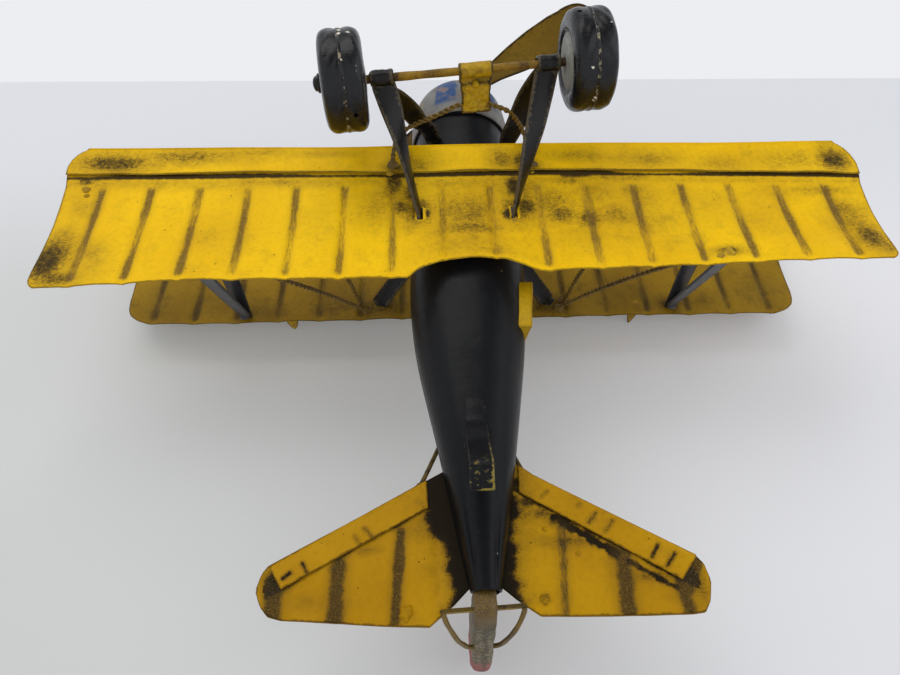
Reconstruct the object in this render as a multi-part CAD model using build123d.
from build123d import *
import math
import os

# Tinplate biplane scale model, free standing on two wheels and a tail skid.
# Modelled level (nose towards -Y, aircraft's left towards +X, wings up +Z,
# zero at the lower wing's trailing edge), then tipped tail-down into the
# attitude it stands in, with the origin at the bottom centre of its box.

os.makedirs("parts", exist_ok=True)

# ---------------------------------------------------------------- dimensions
SIDES = ((-1, "right"), (1, "left"))    # sign of X, name

SHEET = 0.8             # painted tinplate
HALF_SPAN = 168.0       # both wings
CHORD = 70.7
HEM = 15.5              # folded leading-edge hem, front to rear
RIB_PITCH = 20.3
RIBS_PER_SIDE = 8
RIB_WIDTH = 1.8
GAP = 71.0              # lower wing to upper wing
STAGGER = -26.2         # upper wing sits forward

SEAM_Z = 24.5           # belly shell meets top deck
BELLY_WALL = 1.0
DECK_WALL = 0.9
DECK_INSET = 0.55       # the deck is this much narrower than the belly, per side
SECTION_POWER = 2.25    # superellipse exponent of the fuselage sections

AXIS_Z = 23.5           # cowl and engine axis
COWL_R = 23.0
COWL_WALL = 1.0
COWL_REAR = -93.0
COWL_FRONT = -122.0

PROP_Y = -133.0
PROP_Z = 24.0
PROP_R = 76.0
PROP_ANGLE = -35.5      # rest position of the blade on the +X side, degrees
SHAFT_R = 1.5
SHAFT_FRONT = -137.5
RUN = 0.05              # running clearance on the radius

AXLE_R = 1.95
AXLE_Y = -74.0
AXLE_Z = -34.0
AXLE_SKEW = 0.0755      # the left end of the axle sits further forward
AXLE_DROP = 0.0265      # and lower
BORE_OVERRUN = 3.0      # cutters run this far past the fittings on the axle
WHEEL_R = 19.2
WHEEL_W = 16.4
HUB_R = 3.05
RIGHT_WHEEL_X = -47.9
LEFT_WHEEL_X = 49.0
BEND_X = -38.3          # the axle's right stub is bent here
STUB_YAW = 2.2          # degrees
STUB_CAMBER = 1.9       # degrees
STUB_END = 2.6          # axle beyond the wheel's width

REAR_LEG_X = 19.3       # foot of the rear gear leg, in a slot in the lower wing
REAR_LEG_Y = -32.0

TAIL_Z = 26.0
SHOE_Y = 79.6           # front bottom edge of the skid's shoe, on the ground
SHOE_Z = -6.7
SHOE_LEN = 7.8
SKID_W = 7.2
SKID_X = -1.0           # middle of the skid

# Wing underside along the chord: y, z
CAMBER = [
    (-CHORD, 0.6), (-62.0, 1.9), (-50.0, 2.9), (-38.0, 3.2),
    (-20.0, 2.3), (-8.0, 0.9), (0.0, 0.0),
]
RIB_STATIONS = (-49.0, -38.0, -20.0, -8.0, -2.0)    # y

# Lower wing's trailing-edge cutout: x, y
WING_CUTOUT = [
    (-22.6, 3.0), (-22.6, 0.3), (-10.6, -6.0), (3.7, -6.9),
    (13.7, -6.0), (24.8, -0.4), (24.8, 3.0),
]

# Fuselage stations: y, half width at the seam, belly bottom z, deck top z
STATIONS = [
    (-93.0, 21.4, 2.6, 44.5),
    (-70.0, 22.6, 4.3, 46.0),
    (-40.0, 23.4, 5.0, 46.8),
    (-8.0, 23.6, 4.8, 46.2),
    (18.0, 21.2, 5.4, 44.0),
    (43.0, 17.4, 7.8, 40.4),
    (82.0, 10.7, 12.8, 34.6),
    (112.0, 5.2, 17.6, 30.8),
]

# Cockpits: name, centre y, half length, half width
COCKPITS = [
    ("front", -40.0, 15.0, 10.5),
    ("rear", 5.0, 14.0, 10.0),
]

# Propeller blade sections: radius, width, pitch in degrees
BLADE = [
    (9.0, 7.6, 34.0), (24.0, 9.2, 31.0), (34.0, 13.0, 27.0), (46.0, 16.6, 23.0),
    (58.0, 18.2, 19.0), (68.0, 16.2, 16.0), (73.5, 11.0, 14.5), (PROP_R, 3.0, 14.0),
]

# Landing gear: side, name, inner and outer x of the eye on the axle,
# front leg foot, a point along the wire, wire foot
GEAR = [
    (-1, "right", (-28.9, -37.0), (-13.4, -79.5, 6.4), (-25.5, -71.5, -6.5), (-30.6, -58.0, 0.3)),
    (1, "left", (29.4, 37.6), (20.4, -81.5, 13.5), (25.0, -72.0, -6.5), (28.4, -57.5, 0.3)),
]

# Left tailplane and the hem under its front edge: x, y
TAILPLANE = [
    (4.6, 69.0), (14.0, 67.5), (19.0, 73.5), (71.3, 101.5), (74.0, 106.0), (74.0, 110.8),
    (71.6, 116.8), (67.0, 119.6), (19.2, 120.4), (9.8, 114.4), (5.0, 114.4),
]
TAILPLANE_HEM = [
    (14.0, 67.5), (19.0, 73.5), (71.3, 101.5), (68.5, 108.6), (18.0, 82.0), (12.5, 76.0),
]

# Fin and rudder in side view: y, z
FIN = [
    (72.0, 35.4), (84.0, 44.0), (99.0, 56.0), (112.0, 62.0), (115.2, 62.0),
    (115.2, 22.5), (111.0, 22.5), (109.0, 29.0), (100.0, 31.0), (84.0, 33.6),
]
RUDDER = [
    (115.3, 20.5), (117.0, 19.0), (120.0, 21.0), (122.5, 33.0), (125.5, 47.0),
    (129.5, 62.0), (130.6, 74.0), (128.0, 81.0), (122.0, 83.5), (115.3, 80.0),
    (110.0, 72.0), (108.5, 62.2), (115.3, 62.2),
]

# Wire hoop through the rudder, from the right end to the left: x, y, z
HOOP = [
    (-13.9, 117.9, 25.0), (-12.7, 121.1, 30.0), (-9.7, 124.2, 38.0),
    (-7.4, 124.7, 45.0), (-5.3, 124.7, 50.0), (5.2, 124.6, 50.0),
    (7.5, 123.6, 40.0), (10.0, 121.6, 31.0), (11.5, 117.4, 25.0),
]

# Tail stays: name, rear end (x, y) on the tailplane, front end (x, y) on the deck
TAIL_STAYS = [
    ("right", (-21.4, 76.2), (-13.2, 56.0)),
    ("left", (16.8, 73.4), (12.9, 61.0)),
]


# ------------------------------------------------------------------- helpers
def station_plane(y):
    """Cross-section plane: local x is X, local y is Z, normal towards the nose."""
    return Plane(origin=(0, y, 0), x_dir=(1, 0, 0), z_dir=(0, -1, 0))


def side_plane(x=0.0, z=0.0):
    """Side-view plane: local x is Y, local y is Z, normal towards +X."""
    return Plane(origin=(x, 0, z), x_dir=(0, 1, 0), z_dir=(1, 0, 0))


def spin_axis(z):
    return Axis((0, 0, z), (0, 1, 0))


def outline(points):
    return make_face(Polyline(*points, close=True))


def rod(start, end, radius):
    start, end = Vector(start), Vector(end)
    along = end - start
    return extrude(Plane(origin=start, z_dir=along) * Circle(radius), along.length)


def strip(start, end, start_width, end_width, thickness, normal):
    """Flat tapered strip, its face turned as nearly as it can be to the normal."""
    start, end, normal = Vector(start), Vector(end), Vector(normal)
    along = end - start
    length = along.length
    unit = along.normalized()
    normal = (normal - unit * normal.dot(unit)).normalized()
    face = outline([
        (0, -start_width / 2), (length, -end_width / 2),
        (length, end_width / 2), (0, start_width / 2),
    ])
    return extrude(Plane(origin=start, x_dir=unit, z_dir=normal) * face, thickness / 2, both=True)


def wire_along(points, radius):
    line = Spline(*[Vector(p) for p in points])
    return sweep(Plane(origin=line @ 0, z_dir=line % 0) * Circle(radius), path=line)


def joined(solids):
    """The only solid, or a compound of several."""
    return solids[0] if len(solids) == 1 else Compound(children=list(solids))


def whole(shape):
    return joined(shape.solids())


def biggest(shape):
    """Drops the offcuts a trim leaves behind."""
    return sorted(shape.solids(), key=lambda s: s.volume)[-1]


pieces = {}


# --------------------------------------------------------------------- wings
def camber_z(y):
    for (y0, z0), (y1, z1) in zip(CAMBER, CAMBER[1:]):
        if y0 <= y <= y1:
            return z0 + (z1 - z0) * (y - y0) / (y1 - y0)


def wing_rib(x):
    """Raised rib on the upper skin."""
    low = [(y, camber_z(y) + 0.35) for y in RIB_STATIONS]
    top = [(y, camber_z(y) + SHEET + 0.55) for y in reversed(RIB_STATIONS)]
    return extrude(side_plane(x - RIB_WIDTH / 2) * outline(low + top), RIB_WIDTH)


def wing_plan():
    """Tall block in the wing's plan shape, rounded at the trailing corners."""
    left = [
        (HALF_SPAN - 4.3, -CHORD - 1.0), (HALF_SPAN + 1.6, -61.5),
        (HALF_SPAN, -50.0), (HALF_SPAN - 2.6, 1.0),
    ]
    right = [(-x, y) for x, y in reversed(left)]
    block = extrude(Plane(origin=(0, 0, -6)) * outline(left + right), 16)
    return fillet(block.edges().filter_by(Axis.Z).group_by(Axis.Y)[-1], 4.0)


def wing(cutout):
    reach = HALF_SPAN + 2.0     # trimmed to plan later
    root = side_plane(-reach)
    top_line = [(y, z + SHEET) for y, z in CAMBER]
    with BuildSketch(root) as section:
        with BuildLine():
            Spline(*CAMBER)
            Line(CAMBER[-1], top_line[-1])
            Spline(*reversed(top_line))
            Line(top_line[0], CAMBER[0])
        make_face()
    sheet = extrude(section.sketch, reach * 2)

    # hem folded back under the leading edge
    hem_rear = -CHORD + HEM
    hem_mid = -62.0
    hem = outline([
        top_line[0], (-CHORD - 0.5, 0.5), (-CHORD, -0.3),
        (hem_mid, camber_z(hem_mid) - 0.9), (hem_rear, camber_z(hem_rear) - 0.9),
        (hem_rear, camber_z(hem_rear) + 0.2), (hem_mid, camber_z(hem_mid) + 0.2),
    ])
    sheet = sheet + extrude(root * hem, reach * 2)

    ribs = None
    for i in range(-RIBS_PER_SIDE, RIBS_PER_SIDE):
        rib = wing_rib((i + 0.5) * RIB_PITCH)
        ribs = rib if ribs is None else ribs + rib
    sheet = (sheet + ribs) & wing_plan()

    if cutout:
        sheet = sheet - extrude(Plane(origin=(0, 0, -6)) * outline(WING_CUTOUT), 16)
        for side, _ in SIDES:
            sheet = sheet - Pos(side * REAR_LEG_X, REAR_LEG_Y, 3.0) * Box(1.8, 6.4, 12)
    return biggest(sheet)


lower_wing = wing(cutout=True)
upper_wing = Pos(0, STAGGER, GAP) * wing(cutout=False)
pieces["lower_wing"] = lower_wing
pieces["upper_wing"] = upper_wing


# ------------------------------------------------------------------ fuselage
def half_face(y, half_width, crown_z, lip=0.0):
    """Half of a rounded section from the seam to the crown (top or bottom).
    A lip carries it straight on past the seam."""
    steps = 14
    points = []
    for i in range(steps + 1):
        angle = math.pi * i / steps
        cosine, sine = math.cos(angle), math.sin(angle)
        x = half_width * math.copysign(abs(cosine) ** (2 / SECTION_POWER), cosine)
        z = SEAM_Z + (crown_z - SEAM_Z) * abs(sine) ** (2 / SECTION_POWER)
        points.append((x, z))
    first, last = points[0], points[-1]
    way = 1 if crown_z > SEAM_Z else -1
    with BuildSketch(station_plane(y)) as section:
        with BuildLine():
            Spline(*points, tangents=[(0, way), (0, -way)])
            if lip:
                lip_z = SEAM_Z - way * lip
                Polyline(last, (last[0], lip_z), (first[0], lip_z), first)
            else:
                Line(last, first)
        make_face()
    return section.sketch.faces()[0]


def half_hull(side, grow=0.0, lip=0.0, front_shift=0.0, rear_shift=0.0):
    """Solid half fuselage: side -1 is the belly, +1 the deck. Grow offsets its
    surface outwards; the shifts move the end sections along Y."""
    inset = 0.0 if side < 0 else DECK_INSET
    faces = []
    for i, (y, half_width, belly_z, deck_z) in enumerate(STATIONS):
        if i == 0:
            y += front_shift
        if i == len(STATIONS) - 1:
            y += rear_shift
        crown_z = belly_z if side < 0 else deck_z
        faces.append(half_face(y, half_width - inset + grow, crown_z + side * grow, lip))
    return loft(faces)


def shell(side, wall):
    """Half shell, open at the seam and the front, closed at the rear."""
    hollow = half_hull(side, grow=-wall, lip=2.0, front_shift=-1.0, rear_shift=-1.5)
    return half_hull(side) - hollow


belly = shell(-1, BELLY_WALL)
deck = shell(1, DECK_WALL)
for _, centre_y, half_length, half_width in COCKPITS:
    opening = Plane(origin=(0, centre_y, 38.0)) * Ellipse(half_width, half_length)
    deck = deck - extrude(opening, 14)

# the tail ends are slotted for the foot of the fin
fin_slot = Pos(0, 113.0, SEAM_Z) * Box(1.9, 9.0, 40)
belly = biggest(belly - fin_slot)
deck = biggest(deck - fin_slot)
pieces["belly_shell"] = belly
pieces["top_deck"] = deck


# ------------------------------------------------------------ cowl and engine
def shaft_rod(start_y, end_y, radius):
    return rod((0, start_y, PROP_Z), (0, end_y, PROP_Z), radius)


def firewall():
    """Disc between the fuselage and the cowl, with a hole for the shaft."""
    disc = station_plane(COWL_REAR) * (Pos(0, AXIS_Z) * Circle(COWL_R - 1.05))
    hole = station_plane(COWL_REAR + 2) * (Pos(0, PROP_Z) * Circle(4.0))
    return whole(extrude(disc, 1.0) - extrude(hole, 6))


def nose_cowl():
    """Spun ring with a rounded front lip. Profile columns: y, radius."""
    bore = COWL_R - COWL_WALL
    outside = [
        (COWL_REAR, COWL_R), (-104.0, COWL_R), (-113.0, 21.6), (-119.5, 18.6), (COWL_FRONT, 15.3),
    ]
    inside = [
        (COWL_FRONT + 1.2, 15.0), (-118.4, 17.8), (-112.4, 20.6), (-103.8, bore), (COWL_REAR, bore),
    ]
    with BuildSketch(side_plane(z=AXIS_Z)) as section:
        with BuildLine():
            Spline(*outside, tangents=[(-1, 0), (0.1, -1)])
            Line(outside[-1], inside[0])
            Spline(*inside, tangents=[(-0.1, 1), (1, 0)])
            Line(inside[-1], outside[0])
        make_face()
    return whole(revolve(section.sketch, spin_axis(AXIS_Z)))


def engine_face():
    """Disc with a domed centre, inside the cowl."""
    rear, front = -109.0, -110.0
    tip = -118.6
    hole_r = SHAFT_R + RUN
    flat = outline([(front, hole_r), (rear, hole_r), (rear, 20.9), (front, 20.9)])
    disc = revolve(side_plane(z=AXIS_Z) * flat, spin_axis(AXIS_Z))
    with BuildSketch(side_plane(z=AXIS_Z)) as section:
        with BuildLine():
            Spline((front, 9.0), (-114.5, 8.2), (-117.5, 5.5), (tip, 3.2))
            Polyline((tip, 3.2), (tip, 0.0), (front, 0.0), (front, 9.0))
        make_face()
    dome = revolve(section.sketch, spin_axis(AXIS_Z))
    return biggest(disc + dome - shaft_rod(-100, -125, hole_r))


pieces["firewall"] = firewall()
pieces["nose_cowl"] = nose_cowl()
pieces["engine_face"] = engine_face()


# ----------------------------------------------------------------- propeller
def shaft_bush(front_y, rear_y, radius):
    return whole(shaft_rod(front_y, rear_y, radius) - shaft_rod(front_y - 3, rear_y + 3, SHAFT_R))


def blade(turn, lean):
    """One blade; lean is how far it goes aft for each millimetre outwards."""
    root_r = BLADE[0][0]
    sections = []
    for radius, width, pitch in BLADE:
        run = (radius - root_r) / math.hypot(1.0, lean)
        angle = math.radians(pitch)
        plane = Plane(
            origin=(root_r + run, run * lean, 0),
            x_dir=(0, math.sin(angle), math.cos(angle)),
            z_dir=(1, 0, 0),
        )
        sections.append(plane * RectangleRounded(width, 1.0, 0.45))
    return Pos(0, PROP_Y, PROP_Z) * Rot(0, turn, 0) * loft(sections)


def propeller():
    """Two paddle blades on a flat hub."""
    body = shaft_rod(PROP_Y + 1.2, PROP_Y - 1.2, 6.0)
    # the second blade is 6.5 degrees off opposite and bent aft
    for turn, lean in ((-PROP_ANGLE, 0.0), (180 - PROP_ANGLE + 6.5, 0.36)):
        root = Pos(7.0, 0, 0) * Rot(-BLADE[0][2], 0, 0) * Box(7.0, 1.6, 7.0)
        root = Pos(0, PROP_Y, PROP_Z) * Rot(0, turn, 0) * root
        body = body + blade(turn, lean) + root
    return biggest(body - shaft_rod(-140, -120, SHAFT_R))


def spinner_nut():
    rear, tip = -134.2, -140.4
    with BuildSketch(side_plane(z=PROP_Z)) as section:
        with BuildLine():
            Line((rear, 0), (rear, 4.6))
            Spline((rear, 4.6), (-137.2, 3.9), (-139.6, 2.0), (tip, 0))
            Line((tip, 0), (rear, 0))
        make_face()
    nut = revolve(section.sketch, spin_axis(PROP_Z))
    nut = nut - shaft_rod(SHAFT_FRONT, -120, SHAFT_R)
    return biggest(nut - pieces["propeller"])


pieces["propeller_shaft"] = whole(shaft_rod(-103.0, SHAFT_FRONT, SHAFT_R))
pieces["shaft_collar"] = shaft_bush(-108.6, -105.0, 3.2)
pieces["propeller_spacer"] = shaft_bush(-130.4, -119.0, 3.4)
pieces["propeller"] = propeller()
pieces["spinner_nut"] = spinner_nut()

# ---------------------------------------------------------- axle and wheels
axle_slope = Vector(1, -AXLE_SKEW, -AXLE_DROP)


def on_axle(x):
    return Vector(0, AXLE_Y, AXLE_Z) + axle_slope * x


# both directions point towards +X
left_dir = axle_slope.normalized()
stub_yaw = math.atan(AXLE_SKEW) + math.radians(STUB_YAW)
stub_camber = math.radians(STUB_CAMBER) - math.atan(AXLE_DROP)
right_dir = Vector(1, -math.tan(stub_yaw), math.tan(stub_camber)).normalized()

bend = on_axle(BEND_X)
left_centre = on_axle(LEFT_WHEEL_X)
right_centre = bend - right_dir * (BEND_X - RIGHT_WHEEL_X)


def axle():
    """Straight bar with a bent right stub, rounded at the bend."""
    reach = WHEEL_W / 2 + STUB_END
    bar = rod(bend, left_centre + left_dir * reach, AXLE_R)
    stub = rod(right_centre - right_dir * reach, bend, AXLE_R)
    return whole(bar + stub + Pos(bend.X, bend.Y, bend.Z) * Sphere(AXLE_R))


def wheel_half(half):
    """Pressed half, meeting the other at mid tread. Columns: along axle, radius."""
    edge = WHEEL_W / 2
    web = edge - 1.0
    wall = 0.8
    tread = [
        (0.0, WHEEL_R), (0.9, WHEEL_R - 0.55), (2.4, WHEEL_R - 0.35), (5.0, WHEEL_R - 0.9),
        (7.2, WHEEL_R - 3.0), (edge, WHEEL_R - 6.0),
    ]
    side_face = [
        (edge, WHEEL_R - 6.0), (edge - 0.4, WHEEL_R - 7.2), (web, WHEEL_R - 7.6), (web, HUB_R),
        (web - wall, HUB_R), (web - wall, WHEEL_R - 8.2), (edge - wall, WHEEL_R - 6.1),
    ]
    tread_inside = [
        (edge - wall, WHEEL_R - 6.1), (6.5, WHEEL_R - 3.5), (4.7, WHEEL_R - 1.75),
        (2.4, WHEEL_R - 1.2), (0.9, WHEEL_R - 1.4), (0.0, WHEEL_R - 1.0),
    ]
    with BuildSketch(Plane.XY) as section:
        with BuildLine():
            Spline(*[(half * x, y) for x, y in tread])
            Polyline(*[(half * x, y) for x, y in side_face])
            Spline(*[(half * x, y) for x, y in tread_inside])
            Line((0.0, WHEEL_R - 1.0), (0.0, WHEEL_R))
        make_face()
    return revolve(section.sketch, Axis.X)


def hub_disc(half):
    """Shallow dome over the side face. Columns: along axle, radius."""
    edge = WHEEL_W / 2
    web = edge - 1.0
    crown = edge + 0.75
    hole_r = AXLE_R + RUN
    outside = [(web, 11.4), (edge - 0.1, 10.2), (edge + 0.5, 6.5), (crown, 3.2)]
    centre = [(crown, 3.2), (crown, hole_r), (edge, hole_r), (edge, 3.4)]
    inside = [(edge, 3.4), (edge - 0.35, 6.6), (edge - 0.85, 9.2), (web, 10.6)]
    with BuildSketch(Plane.XY) as section:
        with BuildLine():
            Spline(*[(half * x, y) for x, y in outside])
            Polyline(*[(half * x, y) for x, y in centre])
            Spline(*[(half * x, y) for x, y in inside])
            Line((half * web, 10.6), (half * web, 11.4))
        make_face()
    return revolve(section.sketch, Axis.X)


def add_wheel(side, label, centre, along):
    """Two halves, a hub tube and two hub discs, modelled along X, then placed."""
    upward = (Vector(0, 0, 1) - along * along.Z).normalized()
    frame = Plane(origin=centre, x_dir=along, z_dir=upward)
    discs = []
    for half in (-1, 1):
        name = "inner" if half * side < 0 else "outer"
        pieces[f"{label}_wheel_{name}_half"] = whole(frame * wheel_half(half))
        discs.append((frame * hub_disc(half)).solids()[0])
    tube = Cylinder(HUB_R, WHEEL_W - 0.1) - Cylinder(AXLE_R + RUN, WHEEL_W + 2)
    pieces[f"{label}_wheel_hub_tube"] = whole(frame * (Rot(0, 90, 0) * tube))
    pieces[f"{label}_wheel_hub_discs"] = joined(discs)


def axle_cap(centre, outward):
    """Flanged cap with a tapered end, on the end of the axle."""
    flange_at = centre + outward * (WHEEL_W / 2 + 1.05)
    flange = extrude(Plane(origin=flange_at, z_dir=outward) * Circle(3.6), 0.8)
    cone_plane = Plane(origin=flange_at + outward * 0.8, z_dir=outward)
    cap = flange + extrude(cone_plane * Circle(3.0), 1.9, taper=30)
    return biggest(cap - rod(centre, centre + outward * (WHEEL_W / 2 + STUB_END), AXLE_R))


pieces["axle"] = axle()
for side, label, centre, along in (
    (-1, "right", right_centre, right_dir),
    (1, "left", left_centre, left_dir),
):
    add_wheel(side, label, centre, along)
    pieces[f"{label}_axle_cap"] = axle_cap(centre, along * side)


# -------------------------------------------------------------- landing gear
def axle_bore(x0, x1):
    overrun = math.copysign(BORE_OVERRUN, x1 - x0)
    return rod(on_axle(x0 - overrun), on_axle(x1 + overrun), AXLE_R)


BRACKET_X0, BRACKET_X1 = -1.9, 10.6
BRACKET_W = BRACKET_X1 - BRACKET_X0
bracket_mid = on_axle((BRACKET_X0 + BRACKET_X1) / 2)
tab_dir = Vector(0, 0.22, 1.0).normalized()
tab_normal = Vector(AXLE_SKEW, 1, -0.22)


def bracket_and_rivet():
    """Strap round the middle of the axle, with a riveted tab standing up."""
    bore = axle_bore(BRACKET_X0, BRACKET_X1)
    strap = rod(on_axle(BRACKET_X0), on_axle(BRACKET_X1), AXLE_R + 0.9) - bore
    tab = strip(
        bracket_mid + tab_dir * (AXLE_R + 0.3), bracket_mid + tab_dir * 17.5,
        BRACKET_W, BRACKET_W - 1.0, 1.5, tab_normal,
    )
    strap = (strap + tab) - bore

    normal = (tab_normal - tab_dir * tab_normal.dot(tab_dir)).normalized()
    offset = 0.3            # sideways, kept within the tab's plane
    middle = bracket_mid + tab_dir * 6.0 + (Vector(offset, 0, 0) - normal * (offset * normal.X))

    def rivet_rod(start, end, radius):
        return rod(middle + normal * start, middle + normal * end, radius)

    strap = strap - rivet_rod(-3, 3, 0.9)
    rivet = rivet_rod(-0.9, 0.75, 0.9) + rivet_rod(0.75, 1.5, 1.6) + rivet_rod(-1.5, -0.75, 1.6)
    return biggest(strap), whole(rivet)


def add_gear_side(side, label, eye_ends, front_foot, wire_bend, wire_foot):
    """Rear leg with its eye round the axle, front leg, and wire."""
    eye_mid = on_axle(sum(eye_ends) / 2)
    bore = axle_bore(*eye_ends)
    eye = rod(on_axle(eye_ends[0]), on_axle(eye_ends[1]), AXLE_R + 1.3) - bore
    foot = Vector(side * REAR_LEG_X, REAR_LEG_Y, 3.9)
    start = eye_mid + (foot - eye_mid).normalized() * (AXLE_R + 0.5)
    leg = strip(start, foot, 8.6, 5.0, 1.2, (side * 1.0, 0.42, 0.0))
    rear = biggest((eye + leg) - bore - lower_wing)

    # front leg, from the eye to the belly behind the cowl
    foot = Vector(front_foot)
    unit = (foot - eye_mid).normalized()
    start = eye_mid + unit * (AXLE_R + 1.3)
    front = strip(start, foot + unit * 3.0, 8.0, 6.0, 1.2, (side * 0.75, -0.2, 0.6)) - rear
    front = front - belly - pieces["nose_cowl"] - pieces["firewall"] - lower_wing
    front = biggest(front)

    # wire from beside the upper end of the tab to the leading-edge hem
    top = bracket_mid + tab_dir * 15.5 + Vector(side * 6.6, 0.4, 0)
    wire = wire_along([
        top,
        (top.X + side * 9.0, top.Y, top.Z + 5.0),
        wire_bend,
        (wire_foot[0] - side * 1.0, -66.5, -2.6),
        wire_foot,
    ], 1.15)
    wire = wire - lower_wing - pieces["axle_bracket"] - front - rear - pieces["bracket_rivet"]

    pieces[f"{label}_front_gear_leg"] = front
    pieces[f"{label}_gear_wire"] = biggest(wire)
    pieces[f"{label}_rear_gear_leg"] = biggest(rear - belly)


pieces["axle_bracket"], pieces["bracket_rivet"] = bracket_and_rivet()
for row in GEAR:
    add_gear_side(*row)


# ------------------------------------------------- struts and bracing wires
def interplane_strut(side):
    """V of two strips rising from the lower wing to one apex."""
    apex = (side * 103.5, -31.0, GAP + 0.9)
    normal = (0.3 * side, 1.0, 0.0)
    rear = strip((side * 101.5, -6.5, 0.5), apex, 8.0, 6.5, 1.4, normal)
    front = strip((side * 100.0, -27.5, 1.5), apex, 8.0, 6.5, 1.4, normal)
    return biggest(rear + front - lower_wing - upper_wing)


def cabane_strut(side, foot_y, top_y):
    """Deck shoulder to the upper wing."""
    foot = (side * 19.0, foot_y, 37.5)
    top = (side * 42.0, top_y, GAP + 1.0)
    strut = strip(foot, top, 7.0, 7.0, 1.2, (side * 0.6, 0.9, -0.5))
    return biggest(strut - upper_wing - deck)


def bracing_wire(side, points, *neighbours):
    """Wire from the upper wing out to the lower one, trimmed by its neighbours."""
    wire = wire_along([(side * x, y, z) for x, y, z in points], 1.1)
    wire = wire - upper_wing - lower_wing
    for neighbour in neighbours:
        wire = wire - neighbour
    return biggest(wire)


# Bracing wires, top to bottom: outward x, y, z
REAR_WIRE = [
    (47.0, -31.0, GAP + 0.9), (62.0, -24.5, 47.5), (79.0, -17.0, 24.5), (97.2, -8.6, 1.4),
]
FRONT_WIRE = [
    (50.5, -35.5, GAP + 0.9), (58.0, -36.5, 42.0), (74.0, -37.5, 20.0), (94.5, -38.0, 3.9),
]


def king_post(side, height):
    """Small upright blade under the upper wing, pointed at its lower end."""
    face = outline([(-3.2, 0), (3.2, 0), (0.4, height), (-0.4, height)])
    plane = Plane(
        origin=(side * 85.5, -31.0, GAP + 1.2),
        x_dir=(1, 0.25 * side, 0),
        z_dir=(-0.25 * side, 1, 0),     # local y points down
    )
    return biggest(extrude(plane * face, 0.7, both=True) - upper_wing)


for side, label in SIDES:
    strut = interplane_strut(side)
    rear_cabane = cabane_strut(side, -46.0, -36.0)
    rear_wire = bracing_wire(side, REAR_WIRE, strut, rear_cabane)
    pieces[f"{label}_interplane_strut"] = strut
    pieces[f"{label}_rear_cabane_strut"] = rear_cabane
    pieces[f"{label}_front_cabane_strut"] = cabane_strut(side, -68.0, -84.0)
    pieces[f"{label}_rear_bracing_wire"] = rear_wire
    pieces[f"{label}_front_bracing_wire"] = bracing_wire(
        side, FRONT_WIRE, strut, rear_wire, rear_cabane
    )
    pieces[f"{label}_king_post"] = king_post(side, 11.5 if side < 0 else 13.8)


# ---------------------------------------------------------------------- tail
def left_tailplane():
    """Sheet with a hem under its front edge and three raised ribs."""
    body = extrude(Plane(origin=(0, 0, TAIL_Z)) * outline(TAILPLANE), SHEET)
    body = body + extrude(Plane(origin=(0, 0, TAIL_Z - SHEET)) * outline(TAILPLANE_HEM), SHEET)
    rib_rear = 117.0
    for x in (31.0, 47.0, 63.0):
        rib_front = 84.0 + (x - 18.0) * 0.54
        place = Pos(x, (rib_front + rib_rear) / 2 + 2.0, TAIL_Z + SHEET + 0.1)
        body = body + place * Box(1.8, rib_rear - rib_front - 1.0, 0.8)
    body = body - belly - deck
    # trimmed by the mirrored shells too, so that the right one fits as well
    for half in (belly, deck):
        body = body - mirror(half, about=Plane.YZ)
    return biggest(body)


def solid_rudder():
    """Thick blade behind and above the fin."""
    body = extrude(side_plane() * outline(RUDDER), 3.4, both=True)
    # the rounding may fail on the short edges; the blade then stays square
    try:
        body = fillet(body.edges().filter_by(Plane.YZ), 1.6)
    except Exception:
        pass
    return biggest(body - fin - belly - deck)


def spreader_bar():
    """Flat bar across the tail, in the lengths left between the tail pieces."""
    bar = strip((-14.8, 117.6, 24.4), (12.2, 116.5, 24.4), 2.6, 2.6, 1.3, (0, 1, 0))
    bar = bar - rudder - fin - belly - deck
    bar = bar - pieces["left_tailplane"] - pieces["right_tailplane"]
    return joined([s for s in bar.solids() if s.volume > 2.0])


def wire_hoop():
    hoop = None
    for start, end in zip(HOOP, HOOP[1:]):
        piece = rod(start, end, 0.8)
        hoop = piece if hoop is None else hoop + piece
    for point in HOOP[1:-1]:
        hoop = hoop + Pos(*point) * Sphere(0.88)
    return biggest(hoop - pieces["tail_spreader_bar"])


def tail_stay(label, rear, front):
    """Wire from the tailplane's front edge to the side of the deck."""
    top_z = TAIL_Z + SHEET
    middle = ((rear[0] + front[0]) / 2, (rear[1] + front[1]) / 2, top_z + 3.4)
    wire = wire_along([(*rear, top_z + 0.8), middle, (*front, 34.2)], 0.85)
    return biggest(wire - pieces[f"{label}_tailplane"] - deck - belly)


pieces["left_tailplane"] = left_tailplane()
pieces["right_tailplane"] = mirror(pieces["left_tailplane"], about=Plane.YZ).solids()[0]
fin = biggest(extrude(side_plane() * outline(FIN), 0.75, both=True) - belly - deck)
pieces["fin"] = fin
rudder = solid_rudder()
pieces["tail_spreader_bar"] = spreader_bar()
pieces["tail_wire_hoop"] = wire_hoop()
# hole for the hoop
pieces["rudder"] = biggest(rudder - rod((-9.0, 124.74, 50.0), (9.0, 124.56, 50.0), 0.95))
for label, rear, front in TAIL_STAYS:
    pieces[f"{label}_tail_stay"] = tail_stay(label, rear, front)


# ------------------------------------------------------------ standing angle
def height(point, angle):
    """Height of a point once the model is tipped tail-down by the angle."""
    return point.dot(Vector(0, -math.sin(angle), math.cos(angle)))


def wheel_low(centre, along, angle):
    return height(centre, angle) - WHEEL_R * math.sqrt(1 - height(along, angle) ** 2)


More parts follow.
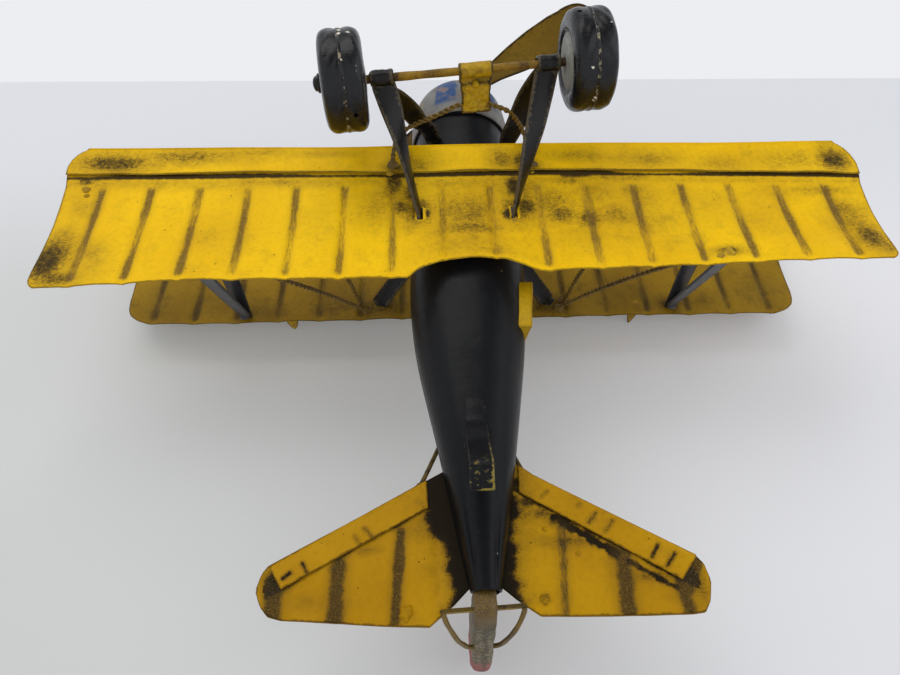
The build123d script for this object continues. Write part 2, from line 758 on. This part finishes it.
def mismatch(angle):
    """Mean height of the wheels' lowest points above the skid's shoe."""
    right_low = wheel_low(right_centre, right_dir, angle)
    left_low = wheel_low(left_centre, left_dir, angle)
    return (right_low + left_low) / 2 - height(Vector(0, SHOE_Y, SHOE_Z), angle)


def standing_angle():
    """Bisection for the angle, in radians, that sets wheels and shoe level."""
    low, high = 0.1, 0.5
    for _ in range(60):
        middle = (low + high) / 2
        if (mismatch(low) < 0) == (mismatch(middle) < 0):
            low = middle
        else:
            high = middle
    return (low + high) / 2


stand_angle = standing_angle()


# ------------------------------------------------------- skid, step, cockpits
def tail_skid():
    """Strip along the belly, bent down to a shoe that lies flat on the ground."""
    shoe_rear = SHOE_Y + SHOE_LEN
    shoe_rear_z = SHOE_Z + SHOE_LEN * math.tan(stand_angle)
    face = outline([
        (49.0, 8.9), (52.0, 7.0), (66.0, 4.2), (SHOE_Y, SHOE_Z), (shoe_rear, shoe_rear_z),
        (shoe_rear - 0.3, shoe_rear_z + 1.2), (SHOE_Y + 0.7, SHOE_Z + 1.6),
        (67.0, 5.6), (60.0, 9.4), (52.2, 9.6),
    ])
    return biggest(extrude(side_plane(SKID_X - SKID_W / 2) * face, SKID_W) - belly)


def boarding_step():
    """Flat tread on the left side, with a pointed tab up at its aft end."""
    tread = Pos(20.9, 6.4, 13.1) * Rot(0, 0, 4.6) * Box(7.6, 20.8, 1.2)
    face = outline([(16.6, 12.6), (23.2, 12.6), (22.6, 16.4), (20.4, 21.6), (18.0, 16.4)])
    tab = extrude(station_plane(16.2) * face, -1.2)
    return biggest(tread + tab - belly - deck)


def cockpit_rim(centre_y, half_length, half_width):
    """Rim round the opening, following the deck."""
    ring = Ellipse(half_width + 0.02, half_length + 0.02)
    ring = ring - Ellipse(half_width - 0.9, half_length - 0.9)
    rim = extrude(Plane(origin=(0, centre_y, 36.0)) * ring, 20)
    rim = (rim & half_hull(1, grow=0.7)) - half_hull(1, grow=-1.9, lip=1.0) - deck
    return biggest(rim)


def windscreen(centre_y, half_length):
    """Flat sheet in front of the opening, leaning aft."""
    sheet = Pos(0, centre_y - half_length - 1.0, 50.0) * Rot(-30, 0, 0) * Box(16.0, 0.9, 15.0)
    return biggest(sheet - half_hull(1))


def seat(centre_y):
    """Seat and back on a block, on a cross plate fitted inside the belly shell."""
    seat_y = centre_y + 3.0
    floor = Pos(0, seat_y, 21.0) * Box(60, 16.0, 1.0)
    floor = floor & half_hull(-1, grow=-BELLY_WALL)
    block = Pos(0, seat_y, 24.0) * Box(8.0, 8.0, 5.0)
    cushion = Pos(0, seat_y, 27.0) * Box(14.0, 13.0, 1.0)
    back = Pos(0, seat_y + 6.2, 32.0) * Rot(-8, 0, 0) * Box(14.0, 1.0, 11.0)
    return biggest(floor + block + cushion + back)


pieces["tail_skid"] = tail_skid()
pieces["boarding_step"] = boarding_step()
for name, centre_y, half_length, half_width in COCKPITS:
    pieces[f"{name}_cockpit_rim"] = cockpit_rim(centre_y, half_length, half_width)
    pieces[f"{name}_windscreen"] = windscreen(centre_y, half_length)
    pieces[f"{name}_seat"] = seat(centre_y)

# --------------------------------------------- standing attitude and export
tilt = Rot(-math.degrees(stand_angle), 0, 0)
standing = {name: tilt * piece for name, piece in pieces.items()}
box = Compound(
    children=[Compound(children=list(piece.solids())) for piece in standing.values()]
).bounding_box()
shift = Pos(-(box.min.X + box.max.X) / 2, -(box.min.Y + box.max.Y) / 2, -box.min.Z)

for name, piece in standing.items():
    export_step(whole(shift * piece), f"parts/{name}.step")
